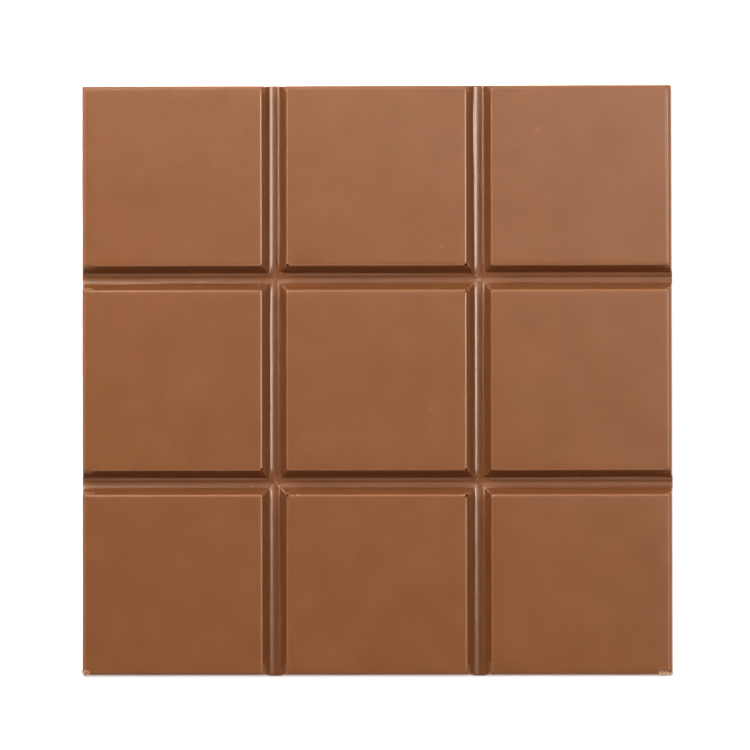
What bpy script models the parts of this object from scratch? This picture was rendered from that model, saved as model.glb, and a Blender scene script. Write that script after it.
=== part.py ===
"""A square bar of moulded milk chocolate: three by three tiles parted by V grooves.

Metres, +Z up. The bar lies on its flat back with the tiles facing up, and the
origin is the middle of the back. +Y is the far side of the bar, +X its right.
The whole bar is one solid: a slab with leaning sides, from which two grooves
are cut each way, so that they cross in mitred corners.
"""

import math

import bmesh
import bpy
from mathutils import Matrix, Vector

# The slab.
SIDE = 0.0900                       # edge of the square back
THICKNESS = 0.0080                  # from the back to the tile tops
DRAFT = math.radians(3.6)           # lean of the sides, which lets the bar leave its mould
RIM_RADIUS = 0.00075                # rounding where the sides turn into the tile tops
CORNER_RADII = {                    # plan rounding of the four corners, going round from +X +Y
    "far_right": 0.0003,
    "far_left": 0.0002,
    "near_left": 0.00055,
    "near_right": 0.00045,
}

# The grooves between the tiles.
TILES = 3                           # tiles along each side
TILE_PITCH = 0.0309                 # middle of one groove to the middle of the next
GROOVE_DEPTH = 0.0032               # tile top down to the middle of the groove's floor
FLOOR_HALF_WIDTH = 0.00085          # half of the hollow floor, seen from above
FLOOR_RADIUS = 0.0016               # hollow of the floor
WALL_SLOPE = math.radians(73.0)     # groove wall, measured from the tile top
EDGE_RADIUS = 0.00042               # rounding where a groove wall turns into a tile top
CUTTER_OVERHANG = 0.0050            # how far a cutter passes the bar's sides and tops

# How finely the round stretches are faceted.
CORNER_STEPS = 5
EDGE_STEPS = 5
FLOOR_STEPS = 8

# Milk chocolate, as linear colour.
CHOCOLATE_COLOUR = (0.305, 0.118, 0.058, 1.0)
CHOCOLATE_ROUGHNESS = 0.38


def clear_scene():
    """Take every object out of the open scene."""
    for old in list(bpy.data.objects):
        bpy.data.objects.remove(old, do_unlink=True)


def milk_chocolate():
    """Satin brown, as chocolate looks when it has set against a smooth mould."""
    material = bpy.data.materials.new("milk_chocolate")
    material.use_nodes = True
    shader = material.node_tree.nodes["Principled BSDF"]
    shader.inputs["Base Color"].default_value = CHOCOLATE_COLOUR
    shader.inputs["Roughness"].default_value = CHOCOLATE_ROUGHNESS
    shader.inputs["Metallic"].default_value = 0.0
    return material


def add_object(name, mesh):
    """Link a mesh into the scene as an object of that name."""
    item = bpy.data.objects.new(name, mesh)
    bpy.context.scene.collection.objects.link(item)
    return item


def rounded_square(inset):
    """Outline of the slab, moved in from the back's edge by inset, anticlockwise."""
    outline = []
    half = SIDE / 2 - inset
    for quarter, radius in enumerate(CORNER_RADII.values()):
        turn = Matrix.Rotation(quarter * math.pi / 2, 2)
        centre = turn @ Vector((half - radius, half - radius))
        for step in range(CORNER_STEPS + 1):
            angle = (quarter + step / CORNER_STEPS) * math.pi / 2
            outline.append(centre + radius * Vector((math.cos(angle), math.sin(angle))))
    return outline


def side_profile():
    """The side from the back's edge to the tile top, as pairs of inset and height."""
    arc_height = THICKNESS - RIM_RADIUS
    wall_end = arc_height + RIM_RADIUS * math.sin(DRAFT)
    arc_inset = wall_end * math.tan(DRAFT) + RIM_RADIUS * math.cos(DRAFT)
    profile = [(0.0, 0.0)]
    for step in range(EDGE_STEPS + 1):
        angle = DRAFT + (math.pi / 2 - DRAFT) * step / EDGE_STEPS
        inset = arc_inset - RIM_RADIUS * math.cos(angle)
        height = arc_height + RIM_RADIUS * math.sin(angle)
        profile.append((inset, height))
    return profile


def slab_mesh():
    """The ungrooved slab: one outline for each step of the side, joined and capped."""
    shape = bmesh.new()
    loops = []
    for inset, height in side_profile():
        loops.append([shape.verts.new((x, y, height)) for x, y in rounded_square(inset)])
    for lower, upper in zip(loops, loops[1:]):
        for index in range(len(lower)):
            after = (index + 1) % len(lower)
            shape.faces.new((lower[index], lower[after], upper[after], upper[index]))
    shape.faces.new(reversed(loops[0]))
    shape.faces.new(loops[-1])
    mesh = bpy.data.meshes.new("slab")
    shape.to_mesh(mesh)
    shape.free()
    return mesh


def groove_half_profile():
    """Half of a groove's section, from its floor's middle up to the tile top.

    Each point is the distance from the groove's middle and the height over the back.
    """
    floor_middle = THICKNESS - GROOVE_DEPTH
    floor_turn = math.asin(FLOOR_HALF_WIDTH / FLOOR_RADIUS)
    points = []
    for step in range(FLOOR_STEPS // 2 + 1):
        angle = floor_turn * step / (FLOOR_STEPS // 2)
        rise = FLOOR_RADIUS * (1 - math.cos(angle))
        points.append((FLOOR_RADIUS * math.sin(angle), floor_middle + rise))

    crease_out, crease_height = points[-1]
    arc_height = THICKNESS - EDGE_RADIUS
    wall_end = arc_height + EDGE_RADIUS * math.cos(WALL_SLOPE)
    wall_run = (wall_end - crease_height) / math.tan(WALL_SLOPE)
    flat_start = crease_out + wall_run + EDGE_RADIUS * math.sin(WALL_SLOPE)
    for step in range(EDGE_STEPS + 1):
        angle = WALL_SLOPE * (1 - step / EDGE_STEPS)
        out = flat_start - EDGE_RADIUS * math.sin(angle)
        points.append((out, arc_height + EDGE_RADIUS * math.cos(angle)))
    return points


def groove_cutter(name, offset, quarter_turns):
    """A bar with the groove's section, long enough to cut right across the slab."""
    half = groove_half_profile()
    top = THICKNESS + CUTTER_OVERHANG
    half.append((half[-1][0], top))
    section = half + [(-out, height) for out, height in reversed(half[1:])]
    reach = SIDE / 2 + CUTTER_OVERHANG

    shape = bmesh.new()
    face = shape.faces.new([shape.verts.new((offset + out, -reach, height)) for out, height in section])
    pulled = bmesh.ops.extrude_face_region(shape, geom=[face])
    far_end = [item for item in pulled["geom"] if isinstance(item, bmesh.types.BMVert)]
    bmesh.ops.translate(shape, verts=far_end, vec=(0.0, 2 * reach, 0.0))
    bmesh.ops.rotate(shape, verts=shape.verts, matrix=Matrix.Rotation(quarter_turns * math.pi / 2, 3, "Z"))
    bmesh.ops.recalc_face_normals(shape, faces=shape.faces)
    mesh = bpy.data.meshes.new(name)
    shape.to_mesh(mesh)
    shape.free()

    cutter = add_object(name, mesh)
    cutter.hide_render = True
    cutter.display_type = "WIRE"
    return cutter


def chocolate_bar():
    """The slab with its grooves cut, all of it one piece of milk chocolate."""
    bar = add_object("chocolate_bar", slab_mesh())
    bar.data.materials.append(milk_chocolate())
    for quarter_turns, way in enumerate(("lengthwise", "crosswise")):
        for groove in range(TILES - 1):
            offset = (groove - (TILES - 2) / 2) * TILE_PITCH
            cutter = groove_cutter(f"groove_{way}_{groove + 1}", offset, quarter_turns)
            cut = bar.modifiers.new(cutter.name, "BOOLEAN")
            cut.operation = "DIFFERENCE"
            cut.solver = "EXACT"
            cut.object = cutter
    return bar


clear_scene()
chocolate_bar()
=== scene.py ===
# %% [markdown]
# # A bar of milk chocolate
# The bar was cast in a mould: nine flat tiles, parted by grooves where it snaps. This lesson
# models the bar as one mesh, from a plain block to the last pinhole, gives it a satin chocolate
# finish, and lights it as a product on a white table.
# The frame that is loaded first holds the plain solid. Its box says how big the bar is.

import math
import random

import bmesh
import bpy
from mathutils import Matrix, Vector


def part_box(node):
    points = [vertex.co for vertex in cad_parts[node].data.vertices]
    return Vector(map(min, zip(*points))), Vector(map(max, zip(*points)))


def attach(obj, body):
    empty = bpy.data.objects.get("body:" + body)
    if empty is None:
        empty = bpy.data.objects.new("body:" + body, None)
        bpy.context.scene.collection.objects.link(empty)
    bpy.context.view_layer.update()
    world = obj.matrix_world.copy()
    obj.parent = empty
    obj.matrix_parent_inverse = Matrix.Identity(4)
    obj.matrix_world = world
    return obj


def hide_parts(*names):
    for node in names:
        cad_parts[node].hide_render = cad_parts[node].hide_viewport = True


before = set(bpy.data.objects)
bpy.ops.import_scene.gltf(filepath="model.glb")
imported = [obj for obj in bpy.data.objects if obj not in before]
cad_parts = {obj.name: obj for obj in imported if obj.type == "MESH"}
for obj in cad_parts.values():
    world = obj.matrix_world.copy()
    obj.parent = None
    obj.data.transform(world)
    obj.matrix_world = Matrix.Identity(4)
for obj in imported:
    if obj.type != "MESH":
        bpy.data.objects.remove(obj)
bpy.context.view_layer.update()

MM = 0.001
low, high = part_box("chocolate_bar")
print(f"the plain solid is {(high - low).x / MM:.1f} mm wide and {(high - low).z / MM:.1f} mm thick")

# %% [markdown]
# Real castings are never quite the size of the drawing. The block starts a hair smaller than the
# plain solid, so that the unevenness added later still fits inside its box. The other sizes are
# those of the mould: the pitch of the tiles, the section of a groove and the lean of the sides.

# %% Sizes of the mould
SLACK = 0.05 * MM
HEADROOM = 0.12 * MM
SIDE = high.x - low.x - 2 * SLACK
THICKNESS = high.z - low.z - SLACK - HEADROOM
PITCH = 30.9 * MM
GROOVES = (-PITCH / 2, PITCH / 2)
GROOVE_DEPTH = 3.2 * MM
FLOOR_HALF_WIDTH = 0.85 * MM
FLOOR_RADIUS = 1.9 * MM
WALL_SLOPE = math.radians(72.3)
DRAFT = math.radians(3.6)
EDGE_RADIUS = 0.42 * MM
RIM_RADIUS = 0.65 * MM
MITRE_RADIUS = 0.32 * MM
MOUTH_RADIUS = 0.15 * MM
BACK_RADIUS = 0.12 * MM
CORNER_RADII = {(1, 1): 0.3 * MM, (-1, 1): 0.2 * MM, (-1, -1): 0.55 * MM, (1, -1): 0.45 * MM}
print(f"each tile is about {(PITCH - 2 * FLOOR_HALF_WIDTH) / MM:.1f} mm across its foot")

# %% [markdown]
# Modelling by hand means: pick some faces or edges, then apply a tool to them. These helpers do the
# picking. Everything else is deselected first, because an operator acts on all that is selected.


# %% Helpers for picking
def start_editing(piece):
    """Make piece the only selected object and open it in edit mode with nothing picked."""
    for other in bpy.context.selected_objects:
        other.select_set(False)
    piece.select_set(True)
    bpy.context.view_layer.objects.active = piece
    bpy.ops.object.mode_set(mode="EDIT")
    bpy.ops.mesh.select_all(action="DESELECT")


def pick(piece, kind, wanted):
    """In edit mode, pick the faces, edges or vertices for which wanted() is true."""
    bpy.ops.mesh.select_mode(type=kind)
    bpy.ops.mesh.select_all(action="DESELECT")
    shape = bmesh.from_edit_mesh(piece.data)
    elements = {"VERT": shape.verts, "EDGE": shape.edges, "FACE": shape.faces}[kind]
    count = 0
    for element in elements:
        if wanted(element):
            element.select_set(True)
            count += 1
    shape.select_flush_mode()
    bmesh.update_edit_mesh(piece.data)
    return count


def stop_editing():
    bpy.ops.object.mode_set(mode="OBJECT")


def apply_modifier(piece, kind, **settings):
    """Add a modifier to piece, set it up and make its result the mesh."""
    modifier = piece.modifiers.new(kind.title(), kind)
    for setting, value in settings.items():
        setattr(modifier, setting, value)
    bpy.context.view_layer.objects.active = piece
    bpy.ops.object.modifier_apply(modifier=modifier.name)


def bake_place(piece):
    """Move the object's place, turn and scale into its mesh, so that the object sits at the origin."""
    for other in bpy.context.selected_objects:
        other.select_set(False)
    piece.select_set(True)
    bpy.context.view_layer.objects.active = piece
    bpy.ops.object.transform_apply(location=True, rotation=True, scale=True)


# %% [markdown]
# The slab is a cube at the bar's size. Its top is drawn in a little, because the sides of a mould
# lean so that the bar drops out. Its edges stay sharp until the grooves are cut, so that one bevel
# can round them all and join up neatly where they meet.

# %% The slab
bpy.ops.mesh.primitive_cube_add(size=1, location=(0, 0, THICKNESS / 2), scale=(SIDE, SIDE, THICKNESS))
bar = bpy.context.object
bar.name = "bar_of_chocolate"
bake_place(bar)

start_editing(bar)
pick(bar, "FACE", lambda face: face.normal.z > 0.9)
drawn_in = 1 - 2 * THICKNESS * math.tan(DRAFT) / SIDE
bpy.ops.transform.resize(value=(drawn_in, drawn_in, 1))
stop_editing()
print(f"the slab has {len(bar.data.polygons)} faces")

# %% [markdown]
# A groove has two steep walls and a hollow floor. Its cutter starts as a cube that reaches over the
# top of the bar. The lower face is narrowed to give the walls their slope, and then pushed down in
# small steps, each narrower than the last, so that it follows the arc of the hollow floor.
# Four cutters crossing at right angles give the mitred corners for nothing.

# %% The grooves
CUTTER_ABOVE = 2 * MM
CUTTER_LENGTH = SIDE + 10 * MM
FLOOR_STEPS = 8

floor_turn = math.asin(FLOOR_HALF_WIDTH / FLOOR_RADIUS)
crease_height = THICKNESS - GROOVE_DEPTH + FLOOR_RADIUS * (1 - math.cos(floor_turn))
cutter_top = THICKNESS + CUTTER_ABOVE
top_half_width = FLOOR_HALF_WIDTH + (cutter_top - crease_height) / math.tan(WALL_SLOPE)


def groove_cutter(offset, turned):
    """A long wedge with a rounded foot, along Y, or along X if turned."""
    bpy.ops.mesh.primitive_cube_add(
        size=1,
        location=(0, 0, (crease_height + cutter_top) / 2),
        scale=(2 * top_half_width, CUTTER_LENGTH, cutter_top - crease_height),
    )
    cutter = bpy.context.object
    bake_place(cutter)
    start_editing(cutter)
    pick(cutter, "FACE", lambda face: face.normal.z < -0.9)
    bpy.ops.transform.resize(value=(FLOOR_HALF_WIDTH / top_half_width, 1, 1))
    half_width = FLOOR_HALF_WIDTH
    height = crease_height
    for step in range(1, FLOOR_STEPS + 1):
        angle = floor_turn * (1 - step / (FLOOR_STEPS + 0.25))
        next_half_width = FLOOR_RADIUS * math.sin(angle)
        next_height = THICKNESS - GROOVE_DEPTH + FLOOR_RADIUS * (1 - math.cos(angle))
        bpy.ops.mesh.extrude_region_move(TRANSFORM_OT_translate={"value": (0, 0, next_height - height)})
        bpy.ops.transform.resize(value=(next_half_width / half_width, 1, 1))
        half_width, height = next_half_width, next_height
    stop_editing()
    cutter.location.x = offset
    if turned:
        cutter.location = (0, offset, 0)
        cutter.rotation_euler.z = math.pi / 2
    bake_place(cutter)
    return cutter


for turned in (False, True):
    for offset in GROOVES:
        cutter = groove_cutter(offset, turned)
        apply_modifier(bar, "BOOLEAN", operation="DIFFERENCE", solver="EXACT", object=cutter)
        bpy.data.objects.remove(cutter)
print(f"with its grooves cut the bar has {len(bar.data.polygons)} faces")

# %% [markdown]
# Where a wall turns into a tile top the mould leaves a small round edge, and that edge catches the
# light. All the tile outlines are rounded in one bevel. The tops are then inset and raised by the
# width of a hair, because a cast tile is very slightly crowned.

# %% Rounded edges and crowned tops
TILE_TOP = THICKNESS - 1e-6
RIM_LINE = SIDE / 2 - THICKNESS * math.tan(DRAFT) - 0.4 * MM
CROWN_MARGIN = 0.55 * MM
CROWN_RISE = 0.010 * MM


def bevel_width(radius, turn):
    """How far from an edge a bevel must start, so that it rounds that turn with that radius."""
    return radius * math.tan(turn / 2)


def edge_middle(edge):
    return (edge.verts[0].co + edge.verts[1].co) / 2


def on_top(edge):
    return all(v.co.z > TILE_TOP for v in edge.verts)


def on_outside(edge):
    """True for an edge that runs round the outside of the bar."""
    middle = edge_middle(edge)
    return max(abs(middle.x), abs(middle.y)) > RIM_LINE


def on_mitre(edge):
    """True for the slanting edge where the walls of two crossing grooves meet."""
    for vert in edge.verts:
        across = min(abs(vert.co.x - groove) for groove in GROOVES)
        along = min(abs(vert.co.y - groove) for groove in GROOVES)
        if abs(across - along) > 0.01 * MM or across < FLOOR_HALF_WIDTH - 0.01 * MM:
            return False
        if across > PITCH / 4:
            return False
    return not on_top(edge)


def on_mouth(edge):
    """True for an edge round the open end of a groove, on the side of the bar."""
    low_end = min(v.co.z for v in edge.verts)
    return low_end > THICKNESS - GROOVE_DEPTH - 0.05 * MM and on_outside(edge) and not on_top(edge)


def on_back(edge):
    return all(v.co.z < 1e-6 for v in edge.verts)


def on_corner(sign_x, sign_y):
    """A test that is true for the upright edge at one corner of the bar."""
    def wanted(edge):
        return all(v.co.x * sign_x > SIDE / 2.5 and v.co.y * sign_y > SIDE / 2.5 for v in edge.verts)
    return wanted


ROUNDED = [
    ("rim", bevel_width(RIM_RADIUS, math.pi / 2 - DRAFT), lambda edge: on_top(edge) and on_outside(edge)),
    ("tile edges", bevel_width(EDGE_RADIUS, WALL_SLOPE), lambda edge: on_top(edge) and not on_outside(edge)),
    ("mitres", bevel_width(MITRE_RADIUS, math.pi / 2), on_mitre),
    ("groove mouths", bevel_width(MOUTH_RADIUS, math.pi / 2), on_mouth),
    ("back", bevel_width(BACK_RADIUS, math.pi / 2 + DRAFT), on_back),
]
for (sign_x, sign_y), radius in CORNER_RADII.items():
    ROUNDED.append(("a corner", bevel_width(radius, math.pi / 2), on_corner(sign_x, sign_y)))
widest = max(width for name, width, wanted in ROUNDED)

start_editing(bar)
for name, width, wanted in ROUNDED:
    count = pick(bar, "EDGE", wanted)
    bpy.ops.transform.edge_bevelweight(value=width / widest)
    print(f"{name}: {count} edges")
stop_editing()
apply_modifier(bar, "BEVEL", limit_method="WEIGHT", width=widest, segments=8,
               profile=0.5, use_clamp_overlap=False)

start_editing(bar)
tiles = pick(bar, "FACE", lambda face: face.normal.z > 0.9999 and face.calc_area() > (20 * MM) ** 2)
bpy.ops.mesh.inset(thickness=CROWN_MARGIN, depth=CROWN_RISE, use_individual=True)
stop_editing()
print(f"{tiles} tiles are crowned")

# %% [markdown]
# The surface needs more points before it can be made uneven. Straight cuts right through the mesh
# give them: close together beside the grooves and along the rim, where the detail is, and wider
# over the tiles. No cut runs along a groove's floor or walls, because a point added halfway along
# a facet of the hollow floor would spoil the round run of the light on it.

# %% Cuts across the bar
GROOVE_HALF_WIDTH = (FLOOR_HALF_WIDTH + (THICKNESS - crease_height) / math.tan(WALL_SLOPE)
                     + bevel_width(EDGE_RADIUS, WALL_SLOPE))
FINE_BAND = 1.5 * MM
FINE_STEP = 0.25 * MM
WIDE_STEP = 1.0 * MM
HEIGHTS = (1.2 * MM, 2.4 * MM, 3.6 * MM, 4.6 * MM, 6.4 * MM)


def cut_places():
    """Where to cut, from one side of the bar to the other."""
    places = []
    place = -SIDE / 2 + FINE_STEP
    while place < SIDE / 2 - FINE_STEP / 2:
        nearest = min(abs(place - groove) for groove in GROOVES)
        if nearest > GROOVE_HALF_WIDTH + 0.05 * MM:
            places.append(place)
        beside_groove = nearest < GROOVE_HALF_WIDTH + FINE_BAND
        beside_rim = SIDE / 2 - abs(place) < FINE_BAND
        place += FINE_STEP if beside_groove or beside_rim else WIDE_STEP
    return places


start_editing(bar)
planes = [((1, 0, 0), place) for place in cut_places()]
planes += [((0, 1, 0), place) for place in cut_places()]
planes += [((0, 0, 1), place) for place in HEIGHTS]
for direction, place in planes:
    bpy.ops.mesh.select_all(action="SELECT")
    bpy.ops.mesh.bisect(plane_co=place * Vector(direction), plane_no=direction)
stop_editing()
print(f"after {len(planes)} cuts the bar has {len(bar.data.polygons)} faces")

# %% [markdown]
# No casting is perfectly flat. Two Displace modifiers push the surface in and out by a few
# hundredths of a millimetre: long soft waves from uneven cooling, and short shallow ones. They are
# what makes a long highlight waver. Then the bar is set down again on its lowest point.

# %% A slightly uneven casting
def make_uneven(name, wave, height):
    """Push the bar's surface in and out, in soft waves of about that length and height."""
    clouds = bpy.data.textures.new(name, "CLOUDS")
    clouds.noise_scale = wave
    clouds.noise_depth = 1
    apply_modifier(bar, "DISPLACE", texture=clouds, strength=height, mid_level=0.5)


make_uneven("cooling", 9.0 * MM, 0.050 * MM)
make_uneven("ripple", 2.2 * MM, 0.005 * MM)
bar.location.z = -min(v.co.z for v in bar.data.vertices)
bake_place(bar)
print(f"the bar is now {max(v.co.z for v in bar.data.vertices) / MM:.2f} mm thick")

# %% [markdown]
# Small faults are what make a casting look real. Air caught in the corners of the mould leaves a
# pinhole with a slightly raised lip, and knocks leave chips. Both start from the same tool: a rough
# stone, which is a ball of triangles with its corners pushed about. A stone can cut, or it can lie
# on the surface as a crumb. The two finishes are only named here, so that every face knows its own.

# %% Rough stones
milk_chocolate = bpy.data.materials.new("milk_chocolate")
broken_chocolate = bpy.data.materials.new("broken_chocolate")
crumb_chocolate = bpy.data.materials.new("crumb_chocolate")
bar.data.materials.append(milk_chocolate)


def rough_stone(place, size, seed, finish, detail=2, roughness=0.12, upright=False):
    """A lump of that size whose corners are pushed about by a share of it, turned any way round."""
    turn = (0, 0, seed) if upright else (seed, 2.3 * seed, 0.7 * seed)
    bpy.ops.mesh.primitive_ico_sphere_add(subdivisions=detail, radius=0.5, location=place, rotation=turn)
    stone = bpy.context.object
    stone.scale = size
    bake_place(stone)
    start_editing(stone)
    bpy.ops.mesh.select_all(action="SELECT")
    bpy.ops.transform.vertex_random(offset=roughness * min(size), seed=seed)
    stop_editing()
    stone.data.materials.append(finish)
    return stone


def join(pieces, name):
    """Make one object of several."""
    bpy.ops.object.select_all(action="DESELECT")
    for piece in pieces:
        piece.select_set(True)
    bpy.context.view_layer.objects.active = pieces[0]
    bpy.ops.object.join()
    pieces[0].name = name
    return pieces[0]


def surface_at(x, y):
    """The point of the bar's face straight below a place, and the way it faces there."""
    found, place, normal, face = bar.ray_cast(Vector((x, y, 2 * THICKNESS)), Vector((0, 0, -1)))
    return place, normal


def cut_with(stones):
    """Cut the stones out of the bar, so that the cut takes on their finish."""
    cutter = join(stones, "cutter")
    apply_modifier(bar, "BOOLEAN", operation="DIFFERENCE", solver="EXACT",
                   material_mode="TRANSFER", object=cutter)
    bpy.data.objects.remove(cutter)


# %% [markdown]
# Each pinhole sits on the rounded corner of a tile, beside a crossing of two grooves. The faces
# round it are subdivided, the place is lifted a little with proportional editing, and a small stone
# is cut out of the lifted spot. What is left is a hole with a lip that catches the light.

# %% Pinholes at the corners of the tiles
LEFT, RIGHT = GROOVES
NEAR, FAR = GROOVES
TILE_CORNER = 1.88 * MM
LIP_REACH = 0.45 * MM
LIP_RISE = 0.10 * MM
PINHOLES = (  # groove across, groove along, which tile (to the right, to the far side), width
    (LEFT, FAR, 1, 1, 0.50 * MM),
    (RIGHT, FAR, -1, 1, 0.46 * MM),
    (RIGHT, FAR, -1, -1, 0.38 * MM),
    (LEFT, NEAR, -1, 1, 0.44 * MM),
    (RIGHT, NEAR, -1, 1, 0.42 * MM),
    (RIGHT, NEAR, -1, -1, 0.46 * MM),
    (LEFT, NEAR, 1, -1, 0.44 * MM),
)


def raise_lip(place, normal):
    """Subdivide the faces round a place and lift its middle along the normal."""
    start_editing(bar)
    pick(bar, "FACE", lambda face: (face.calc_center_median() - place).length < 1.6 * LIP_REACH)
    bpy.ops.mesh.subdivide(number_cuts=2)
    pick(bar, "VERT", lambda vert: (vert.co - place).length < LIP_REACH / 3)
    bpy.ops.transform.translate(value=LIP_RISE * normal, use_proportional_edit=True,
                                proportional_edit_falloff="SMOOTH", proportional_size=LIP_REACH)
    stop_editing()


lip_places = []
holes = []
for number, (across, along, to_right, to_far, width) in enumerate(PINHOLES):
    place, normal = surface_at(across + to_right * TILE_CORNER, along + to_far * TILE_CORNER)
    raise_lip(place, normal)
    lip_places.append(place)
    holes.append(rough_stone(place - 0.35 * width * normal, (width, width, 2.2 * width), number + 1,
                             milk_chocolate, upright=True))
cut_with(holes)
print(f"{len(PINHOLES)} pinholes, and the bar has {len(bar.data.polygons)} faces")

# %% [markdown]
# Two corners on the near side were knocked when the bar was wrapped. A few larger stones take
# shallow bites out of the rim there, and the cut faces show the dull, paler inside of the
# chocolate. Some nicks along the edges, and pinholes in the tops and the back, are cut the same way.

# %% Chips, nicks and more pinholes
TOP = max(v.co.z for v in bar.data.vertices)
CHIPS = (  # place from the middle of the bar and from the tile tops, then size
    ((-44.15, -44.30, 0.45), (2.1, 1.8, 1.7)),
    ((-43.20, -44.75, 0.00), (1.5, 0.7, 0.9)),
    ((43.60, -44.50, 0.40), (3.0, 1.4, 1.6)),
    ((41.90, -44.95, -0.10), (2.4, 0.6, 0.9)),
    ((44.95, -43.60, -0.35), (0.5, 0.6, 0.8)),
)
NICKS = (  # places on the edges of the tiles, then width
    (3.7, -13.55, 0.20), (6.3, -13.50, 0.16), (9.6, -13.55, 0.22), (10.4, 17.40, 0.20),
    (-12.2, -17.45, 0.22), (44.55, -42.4, 0.24), (-28.3, 17.45, 0.14), (31.2, -17.50, 0.16),
)
TOP_PINHOLES = (  # places on the tile tops, then width
    (9.7, 19.8, 0.13), (8.2, -4.5, 0.15), (22.0, 38.6, 0.14), (24.3, 38.0, 0.12), (17.9, 32.5, 0.14),
)
BACK_PINHOLES = 26

start_editing(bar)
far_right = Vector((SIDE / 2, SIDE / 2, TOP))
pick(bar, "VERT", lambda vert: (vert.co - far_right).length < 0.7 * MM)
bpy.ops.transform.translate(value=(-0.06 * MM, -0.06 * MM, -0.45 * MM), use_proportional_edit=True,
                            proportional_edit_falloff="SMOOTH", proportional_size=1.9 * MM)
stop_editing()

for number, (place, size) in enumerate(CHIPS):
    above_back = MM * Vector(place) + Vector((0, 0, TOP))
    cut_with([rough_stone(above_back, MM * Vector(size), 20 + number, broken_chocolate,
                          detail=3, roughness=0.10)])

random.seed(7)
nicks = []
for x, y, width in NICKS + TOP_PINHOLES:
    place, normal = surface_at(x * MM, y * MM)
    nicks.append(rough_stone(place, (width * MM,) * 3, 40 + len(nicks), milk_chocolate, detail=1))
for number in range(BACK_PINHOLES):
    place = SIDE * 0.46 * Vector((random.uniform(-1, 1), random.uniform(-1, 1), 0))
    width = random.uniform(0.15, 0.55) * MM
    nicks.append(rough_stone(place, (width, width, 0.8 * width), 80 + number, milk_chocolate))
cut_with(nicks)
print(f"{len(CHIPS)} chips and {len(nicks)} small marks, and the bar has {len(bar.data.polygons)} faces")

# %% [markdown]
# Crumbs lie where the bar was knocked: in the chipped corners, at the crossings of the grooves, and
# in short rows along the mitres, where flakes broke off. Each is a small stone pressed nearly half
# its depth into the surface, and all of them are joined as one piece.

# %% Crumbs
CRUMBS = (  # groove across, groove along, how far right and how far off of their crossing, width
    (LEFT, FAR, -2.43, -1.03, 0.28),
    (RIGHT, FAR, 0.08, -0.32, 0.36),
    (RIGHT, FAR, 0.15, -0.08, 0.30),
    (RIGHT, FAR, -0.26, -0.26, 0.20),
    (RIGHT, FAR, -0.64, -0.96, 0.40),
    (RIGHT, FAR, -1.08, 0.98, 0.15),
    (LEFT, NEAR, -3.85, -0.50, 0.17),
    (LEFT, NEAR, -3.50, -0.60, 0.22),
    (LEFT, NEAR, 0.14, 0.72, 0.16),
    (LEFT, NEAR, -0.10, 0.42, 0.15),
    (LEFT, NEAR, 0.00, 0.10, 0.26),
    (LEFT, NEAR, 0.28, 0.08, 0.26),
    (LEFT, NEAR, 0.27, -0.08, 0.16),
    (LEFT, NEAR, 3.40, -1.85, 0.26),
    (LEFT, NEAR, 3.75, -1.90, 0.20),
    (RIGHT, NEAR, -0.30, 0.45, 0.18),
    (RIGHT, NEAR, -0.75, -0.80, 0.17),
    (RIGHT, FAR, -0.48, 14.90, 0.24),
)
FLAKED_MITRES = (  # groove across, groove along, towards which tile, from and to, from the crossing
    (RIGHT, FAR, -1, -1, 0.50, 1.10),
    (RIGHT, FAR, -1, 1, 0.08, 0.55),
    (LEFT, NEAR, 1, -1, 0.33, 1.50),
    (LEFT, NEAR, -1, -1, 0.30, 0.65),
    (RIGHT, NEAR, -1, -1, 0.45, 0.80),
    (RIGHT, NEAR, 1, -1, 0.80, 1.42),
)
CHIPPED_CORNERS = (  # middle of a patch of crumbs, its half width and half depth, how many
    (-44.05, -44.30, 0.65, 0.45, 26),
    (43.60, -44.50, 1.15, 0.32, 34),
)

spots = [(across + x * MM, along + y * MM, width * MM) for across, along, x, y, width in CRUMBS]
for across, along, to_right, to_far, start, end in FLAKED_MITRES:
    steps = round((end - start) / 0.11)
    for step in range(steps + 1):
        out = (start + (end - start) * step / steps) * MM
        width = random.uniform(0.16, 0.26) * MM
        spots.append((across + to_right * out, along + to_far * out, width))
for x, y, half_width, half_depth, count in CHIPPED_CORNERS:
    for crumb in range(count):
        spots.append(((x + random.uniform(-half_width, half_width)) * MM,
                      (y + random.uniform(-half_depth, half_depth)) * MM,
                      random.uniform(0.18, 0.42) * MM))
for crumb in range(14):
    in_groove = random.choice(GROOVES) + random.uniform(-1.2, 1.2) * MM
    along_it = random.uniform(-0.48, 0.48) * SIDE
    spot = (in_groove, along_it) if random.random() < 0.5 else (along_it, in_groove)
    spots.append((*spot, random.uniform(0.07, 0.12) * MM))

stones = []
for number, (x, y, width) in enumerate(spots):
    place, normal = surface_at(x, y)
    stones.append(rough_stone(place + 0.05 * width * normal, (width, 0.8 * width, 0.6 * width),
                              200 + number, crumb_chocolate, detail=1, roughness=0.2))
crumbs = join(stones, "crumbs")
print(f"{len(stones)} crumbs")

# %% [markdown]
# A surface finish can only follow the shape if the mesh says where the edges are. Two numbers are
# stored at every point. The first is 1 on the rounded edges, along the mitres and round each pinhole,
# and paints the chocolate paler and warmer there: mostly a painted highlight where those edges catch
# the light, partly the pale wear of handled chocolate. The second, rim, is 1 where the bar's outside
# turns over into its sides and the wrapper has dulled the shine.

# %% Where the bar gets its painted highlights and wear
def ramp(value, start, end):
    """0 before start, 1 after end, and a smooth rise between them."""
    share = min(max((value - start) / (end - start), 0), 1)
    return share * share * (3 - 2 * share)


def inside_hole(place):
    """True for a point below the surface of a tile, in one of the pinholes."""
    for spot in lip_places:
        away = place - spot
        if away.z < -0.10 * MM and Vector((away.x, away.y)).length < 0.26 * MM:
            return True
    return False


def near_top(place):
    return ramp(place.z, TOP - 1.4 * MM, TOP - 0.6 * MM)


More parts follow.
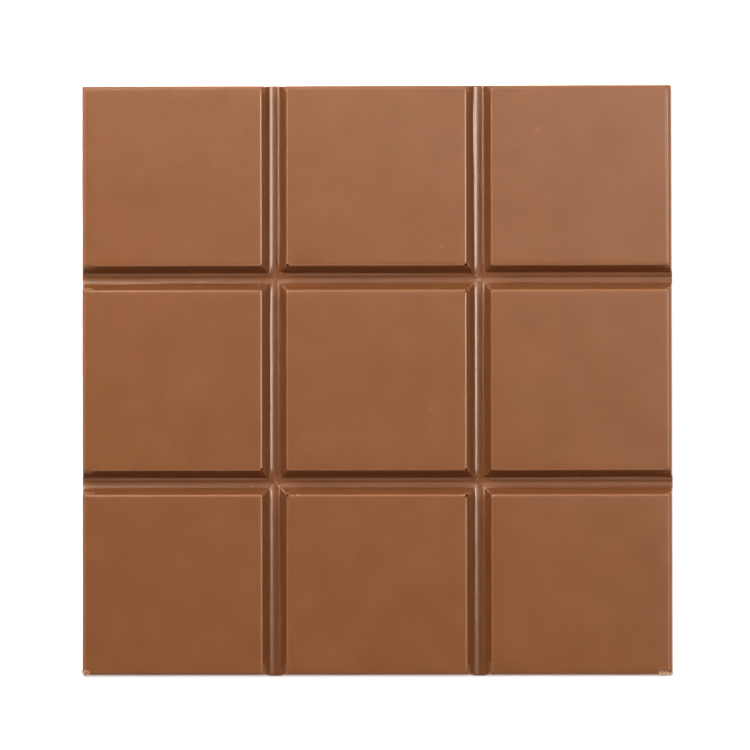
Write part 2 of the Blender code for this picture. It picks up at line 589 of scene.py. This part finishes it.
def highlight_and_wear_at(place, normal):
    # Paler colour goes where the surface tilts over a rounded edge, along the mitres and on each pinhole's
    # lip: a painted highlight, partly wear.
    tilted = ramp(normal.z, 0.66, 0.80) * (1 - ramp(normal.z, 0.970, 0.995))
    edge = tilted if place.z > TOP - 0.5 * MM else 0
    lip = max(1 - ramp((place - spot).length, 0.20 * MM, 0.42 * MM) for spot in lip_places)
    if min((place - spot).length for spot in lip_places) < 0.6 * MM and inside_hole(place):
        lip = 0
    crossing = max(abs(place.x), abs(place.y)) < PITCH / 2 + GROOVE_HALF_WIDTH
    mitre = ramp(min(abs(normal.x), abs(normal.y)), 0.25, 0.5) if crossing else 0
    # On the rim the same paler colour is painted light where the edge turns over into the side.
    if place.y < -RIM_LINE + RIM_RADIUS:
        edge = near_top(place) * (1 - ramp(normal.z, 0.30, 0.80))
    elif max(abs(place.x), place.y) > RIM_LINE - RIM_RADIUS:
        edge = near_top(place) * (1 - ramp(normal.z, 0.45, 0.975))
    return max(0.7 * edge, 0.9 * lip, 0.5 * mitre)


def rim_at(place, normal):
    outside = max(abs(place.x), abs(place.y)) > RIM_LINE - RIM_RADIUS
    return near_top(place) * (1 - ramp(normal.z, 0.960, 0.999)) if outside else 0


for name, measure in (("highlight_and_wear", highlight_and_wear_at), ("rim", rim_at)):
    values = [measure(v.co, v.normal) for v in bar.data.vertices]
    stored = bar.data.attributes.new(name, "FLOAT", "POINT")
    stored.data.foreach_set("value", values)
    print(f"{name} covers {sum(values) / len(values):.0%} of the points")

for piece, angle in ((bar, 28), (crumbs, 20)):
    bpy.ops.object.select_all(action="DESELECT")
    piece.select_set(True)
    bpy.context.view_layer.objects.active = piece
    bpy.ops.object.shade_smooth_by_angle(angle=math.radians(angle))

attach(bar, "root")
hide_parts("chocolate_bar")
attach(crumbs, "root")

# %% [markdown]
# Three finishes share the same effects, so each effect is a node group with named inputs: soft
# blotches, where the cocoa butter set a little differently, pinpricks, where tiny bubbles burst at
# the surface, and grain. All of them read the object's own coordinates, in millimetres.

# %% A helper for node trees
def add_node(tree, kind, inputs=None, **settings):
    """Add a node; inputs are its sockets by name, each a value or another node's output."""
    node = tree.nodes.new(kind)
    for setting, value in settings.items():
        setattr(node, setting, value)
    for name, value in (inputs or {}).items():
        if isinstance(value, bpy.types.NodeSocket):
            tree.links.new(value, node.inputs[name])
        else:
            node.inputs[name].default_value = value
    return node


def math_node(tree, operation, first, second=0.0):
    """The result of one sum on two sockets or values."""
    return add_node(tree, "ShaderNodeMath", {0: first, 1: second}, operation=operation).outputs[0]


def new_group(name, inputs, outputs):
    """An empty node group with float inputs, each with its own default, and float outputs."""
    group = bpy.data.node_groups.new(name, "ShaderNodeTree")
    group.interface.new_socket("Place", in_out="INPUT", socket_type="NodeSocketVector")
    for socket, default in inputs.items():
        made = group.interface.new_socket(socket, in_out="INPUT", socket_type="NodeSocketFloat")
        made.default_value = default
    for socket in outputs:
        group.interface.new_socket(socket, in_out="OUTPUT", socket_type="NodeSocketFloat")
    return group, group.nodes.new("NodeGroupInput"), group.nodes.new("NodeGroupOutput")


# %% Blotches, grain and pinpricks
def blotches_group():
    """Soft cloudy patches from 0 to 1, of a size in millimetres."""
    group, given, result = new_group("blotches", {"Size": 4.0, "Contrast": 1.5}, ["Shade"])
    scale = math_node(group, "DIVIDE", 1.0, given.outputs["Size"])
    cloud = add_node(group, "ShaderNodeTexNoise", {
        "Vector": given.outputs["Place"], "Scale": scale, "Detail": 3.0, "Roughness": 0.55})
    centred = math_node(group, "SUBTRACT", cloud.outputs["Fac"], 0.5)
    spread = math_node(group, "MULTIPLY", centred, given.outputs["Contrast"])
    shade = add_node(group, "ShaderNodeMath", {0: spread, 1: 0.5}, operation="ADD", use_clamp=True)
    group.links.new(shade.outputs[0], result.inputs["Shade"])
    return group


def pinpricks_group():
    """Small round dots, spaced at random, that are 1 in their middle and 0 outside."""
    group, given, result = new_group("pinpricks", {"Spacing": 2.0, "Width": 0.2, "Share": 0.3}, ["Dots"])
    scale = math_node(group, "DIVIDE", 1.0, given.outputs["Spacing"])
    cells = add_node(group, "ShaderNodeTexVoronoi", {"Vector": given.outputs["Place"], "Scale": scale})
    reach = math_node(group, "MULTIPLY", given.outputs["Width"], scale)
    near = math_node(group, "DIVIDE", cells.outputs["Distance"], reach)
    dot = add_node(group, "ShaderNodeMath", {0: 1.0, 1: near}, operation="SUBTRACT", use_clamp=True)
    dice = add_node(group, "ShaderNodeSeparateColor", {"Color": cells.outputs["Color"]})
    chosen = math_node(group, "LESS_THAN", dice.outputs["Red"], given.outputs["Share"])
    group.links.new(math_node(group, "MULTIPLY", dot.outputs[0], chosen), result.inputs["Dots"])
    return group


def grain_group():
    """A fine rough height in millimetres, from two noises, one three times finer."""
    group, given, result = new_group("grain", {"Size": 0.3, "Height": 0.001}, ["Height"])
    scale = math_node(group, "DIVIDE", 1.0, given.outputs["Size"])
    finer = math_node(group, "MULTIPLY", scale, 3.0)
    coarse = add_node(group, "ShaderNodeTexNoise", {"Vector": given.outputs["Place"], "Scale": scale})
    fine = add_node(group, "ShaderNodeTexNoise", {"Vector": given.outputs["Place"], "Scale": finer})
    part = math_node(group, "MULTIPLY", fine.outputs["Fac"], 0.3)
    both = math_node(group, "ADD", coarse.outputs["Fac"], part)
    group.links.new(math_node(group, "MULTIPLY", both, given.outputs["Height"]), result.inputs["Height"])
    return group


BLOTCHES = blotches_group()
PINPRICKS = pinpricks_group()
GRAIN = grain_group()
print("node groups:", ", ".join(group.name for group in bpy.data.node_groups))

# %% [markdown]
# Smooth chocolate is a satin brown. Its colour drifts by a few hundredths between soft blotches.
# The rounded edges, mitres and pinhole lips are painted paler and warmer, a painted highlight that is
# partly wear, and the pinpricks are painted dark, a painted shade in their tiny pits. Light goes a
# little way into chocolate and comes out redder, which is what the subsurface setting is for. The
# shine is a broad one, broken by very fine grain, and on the dulled rim it is almost gone.


# %% Finishes
SUBSURFACE = 0.12
LIGHT_REACH = (1.0, 0.35, 0.12)
LIGHT_REACH_SCALE = 0.8 * MM
WARM_SHINE = (1.0, 0.86, 0.72, 1.0)


def start_finish(material):
    """A cleared node tree with its Principled shader and the object's coordinates in millimetres."""
    material.use_nodes = True
    tree = material.node_tree
    shader = tree.nodes["Principled BSDF"]
    shader.inputs["Subsurface Weight"].default_value = SUBSURFACE
    shader.inputs["Subsurface Radius"].default_value = LIGHT_REACH
    shader.inputs["Subsurface Scale"].default_value = LIGHT_REACH_SCALE
    shader.inputs["Specular Tint"].default_value = WARM_SHINE
    object_place = add_node(tree, "ShaderNodeTexCoord").outputs["Object"]
    in_mm = add_node(tree, "ShaderNodeVectorMath", {0: object_place, "Scale": 1 / MM}, operation="SCALE")
    return tree, shader, in_mm.outputs["Vector"]


def use_group(tree, group, place, values, output):
    """Place a group in a material with its own values, and give back one of its outputs."""
    node = add_node(tree, "ShaderNodeGroup", node_tree=group)
    tree.links.new(place, node.inputs["Place"])
    for name, value in values.items():
        if isinstance(value, bpy.types.NodeSocket):
            tree.links.new(value, node.inputs[name])
        else:
            node.inputs[name].default_value = value
    return node.outputs[output]


def mix_colours(tree, share, first, second):
    """A colour between two others, where each is a socket or a colour."""
    node = add_node(tree, "ShaderNodeMix", data_type="RGBA")
    for socket, value in ((node.inputs["Factor"], share), (node.inputs[6], first), (node.inputs[7], second)):
        if isinstance(value, bpy.types.NodeSocket):
            tree.links.new(value, socket)
        else:
            socket.default_value = value
    return node.outputs[2]


def blend(tree, share, start, end):
    """A number that goes from start to end as the share goes from 0 to 1."""
    return add_node(tree, "ShaderNodeMapRange", {"Value": share, "To Min": start, "To Max": end}).outputs[0]


def bump(tree, shader, height_mm):
    """Feed a height in millimetres to the shader's normal."""
    metres = math_node(tree, "MULTIPLY", height_mm, MM)
    node = add_node(tree, "ShaderNodeBump", {"Strength": 1.0, "Distance": 1.0, "Height": metres})
    tree.links.new(node.outputs["Normal"], shader.inputs["Normal"])


def finish_milk_chocolate(material):
    tree, shader, place = start_finish(material)
    highlight_and_wear = add_node(tree, "ShaderNodeAttribute", attribute_name="highlight_and_wear").outputs["Fac"]
    rim = add_node(tree, "ShaderNodeAttribute", attribute_name="rim").outputs["Fac"]
    patches = use_group(tree, BLOTCHES, place, {"Size": 5.0, "Contrast": 2.2}, "Shade")
    flecks = use_group(tree, BLOTCHES, place, {"Size": 0.9, "Contrast": 1.6}, "Shade")
    wear = use_group(tree, BLOTCHES, place, {"Size": 0.6, "Contrast": 2.5}, "Shade")
    pinprick_dents_and_shade = use_group(tree, PINPRICKS, place, {"Spacing": 3.0, "Width": 0.12, "Share": 0.25}, "Dots")
    grain = use_group(tree, GRAIN, place, {"Size": 0.35, "Height": 0.0010}, "Height")

    colour = mix_colours(tree, patches, (0.159, 0.0543, 0.0181, 1), (0.182, 0.0637, 0.0227, 1))
    colour = mix_colours(tree, math_node(tree, "MULTIPLY", flecks, 0.30), colour, (0.195, 0.0690, 0.0255, 1))
    highlight_and_wear_share = math_node(tree, "MULTIPLY", highlight_and_wear, blend(tree, wear, 0.55, 1.0))
    # A painted highlight, partly wear: the rounded edges, mitres and pinhole lips turn paler and warmer.
    colour = mix_colours(tree, highlight_and_wear_share, colour, (0.30, 0.120, 0.050, 1))
    # Painted shade: the pinpricks are darkened where their tiny pits would lie in shade.
    colour = mix_colours(tree, pinprick_dents_and_shade, colour, (0.075, 0.022, 0.006, 1))
    tree.links.new(colour, shader.inputs["Base Color"])

    satin = blend(tree, patches, 0.205, 0.235)
    dulled = math_node(tree, "MULTIPLY", rim, blend(tree, wear, 0.32, 0.40))
    tree.links.new(math_node(tree, "ADD", satin, dulled), shader.inputs["Roughness"])
    bump(tree, shader, math_node(tree, "SUBTRACT", grain, math_node(tree, "MULTIPLY", pinprick_dents_and_shade, 0.012)))


def finish_rough_chocolate(material, dark, pale, size):
    """Chocolate where it broke or crumbled: paler, dull, and grainy at that size in millimetres."""
    tree, shader, place = start_finish(material)
    lumps = use_group(tree, BLOTCHES, place, {"Size": size, "Contrast": 2.5}, "Shade")
    tree.links.new(mix_colours(tree, lumps, dark, pale), shader.inputs["Base Color"])
    tree.links.new(blend(tree, lumps, 0.75, 0.5), shader.inputs["Roughness"])
    bump(tree, shader, use_group(tree, GRAIN, place, {"Size": size, "Height": 0.04 * size}, "Height"))


finish_milk_chocolate(milk_chocolate)
finish_rough_chocolate(broken_chocolate, (0.25, 0.115, 0.065, 1), (0.50, 0.300, 0.205, 1), 0.25)
finish_rough_chocolate(crumb_chocolate, (0.42, 0.200, 0.105, 1), (0.62, 0.350, 0.210, 1), 0.12)
print("finishes:", ", ".join(material.name for material in bpy.data.materials))

# %% [markdown]
# The bar lies on a large sheet of white paper. Paper is never one flat white: its fibres make faint
# patches, and the blotches group serves for them at a size of a few centimetres. The sheet glows a
# little, as paper does under a bright soft light, so that it reads as white and throws light up onto
# the sides of the bar.

# %% The table
bpy.ops.mesh.primitive_plane_add(size=3, location=(0, 0, 0))
table = bpy.context.object
table.name = "white_table"
paper = bpy.data.materials.new("white_table")
paper.use_nodes = True
paper_tree = paper.node_tree
paper_shader = paper_tree.nodes["Principled BSDF"]
paper_place = add_node(paper_tree, "ShaderNodeTexCoord").outputs["Object"]
paper_in_mm = add_node(paper_tree, "ShaderNodeVectorMath", {0: paper_place, "Scale": 1 / MM},
                       operation="SCALE").outputs["Vector"]
fibres = use_group(paper_tree, BLOTCHES, paper_in_mm, {"Size": 30.0, "Contrast": 1.2}, "Shade")
paper_colour = mix_colours(paper_tree, fibres, (0.84, 0.84, 0.84, 1), (0.86, 0.86, 0.86, 1))
paper_tree.links.new(paper_colour, paper_shader.inputs["Base Color"])
paper_tree.links.new(blend(paper_tree, fibres, 0.85, 0.95), paper_shader.inputs["Roughness"])
paper_shader.inputs["Emission Color"].default_value = (1.0, 1.0, 1.0, 1.0)
paper_shader.inputs["Emission Strength"].default_value = 0.9
table.data.materials.append(paper)

# %% [markdown]
# Each lamp is a softbox, which is a lit rectangle that faces the bar. The large one on the right
# draws the bright line along the floors of the grooves, and its size sets how wide that line is.
# The ones on the left draw the fainter line beside it. The two overhead are mirrored in the tile
# tops and make the far tiles paler than the near ones. The rest only soften the shadows.

# %% Lights
world = bpy.data.worlds.new("studio")
bpy.context.scene.world = world
world.use_nodes = True
world.node_tree.nodes["Background"].inputs["Color"].default_value = (1, 1, 1, 1)
world.node_tree.nodes["Background"].inputs["Strength"].default_value = 0.01


def softbox(name, azimuth, zenith, distance, width, height, power):
    """A soft lamp that faces the bar, where azimuth 0 stands behind it (+Y) and 90 to its right (+X)."""
    light = bpy.data.lights.new(name, "AREA")
    light.shape = "RECTANGLE"
    light.size = width
    light.size_y = height
    light.energy = power
    lamp = bpy.data.objects.new(name, light)
    bpy.context.scene.collection.objects.link(lamp)
    turn = math.radians(azimuth)
    lean = math.radians(zenith)
    away = Vector((math.sin(turn) * math.sin(lean), math.cos(turn) * math.sin(lean), math.cos(lean)))
    level = Vector((0, 0, 1)).cross(away).normalized()
    lamp.location = away * distance
    lamp.rotation_mode = "QUATERNION"
    lamp.rotation_quaternion = Matrix((level, away.cross(level), away)).transposed().to_quaternion()
    lamp.visible_camera = False


softbox("right", 77.5, 32, 0.51, 0.155, 0.185, 1.56)
softbox("right_high", 54, 18, 0.51, 0.10, 0.05, 0.13)
softbox("left", -54.2, 31, 0.63, 0.10, 0.063, 0.34)
softbox("left_low", -74.5, 37.5, 0.61, 0.10, 0.085, 0.46)
softbox("overhead", 7.1, 9.2, 1.01, 0.45, 0.12, 0.34)
softbox("overhead_near", 39.8, 4.5, 1.0, 0.40, 0.10, 0.15)
softbox("behind_high", 0, 25, 0.6, 0.4, 0.12, 0.294)
softbox("behind", 0, 45, 0.34, 0.4, 0.12, 0.36)
softbox("behind_left", -38, 45, 0.34, 0.16, 0.14, 0.96)
softbox("low_right", 90, 60, 0.9, 0.35, 0.3, 0.18)
softbox("low_front", 180, 72, 0.9, 0.35, 0.3, 0.55)
softbox("front", 180, 33, 0.9, 0.35, 0.2, 0.38)

# %% [markdown]
# The camera looks almost straight down, leaning a degree or so to the right and towards the near
# side, and turned by a hair. It stands ten bar widths away, so the sides hardly spread apart. The
# length of the lens follows from how wide a strip of the table it has to take in.

# %% The camera
CAMERA_DISTANCE = 0.9
VIEW_WIDTH = 113.62 * MM
AIM = Vector((-0.36 * MM, 0.80 * MM, 4 * MM))
LEAN_RIGHT = math.radians(1.1)
LEAN_NEAR = math.radians(1.2)
TURN = math.radians(-0.09)
way = Vector((math.tan(LEAN_RIGHT), -math.tan(LEAN_NEAR), 1)).normalized()
bpy.ops.object.camera_add(location=AIM + CAMERA_DISTANCE * way, rotation=(LEAN_NEAR, LEAN_RIGHT, TURN))
camera = bpy.context.object
camera.data.sensor_width = 36
camera.data.lens = 36 * CAMERA_DISTANCE / VIEW_WIDTH
camera.data.clip_end = 10
bpy.context.scene.camera = camera
bpy.context.scene.view_settings.view_transform = "Standard"
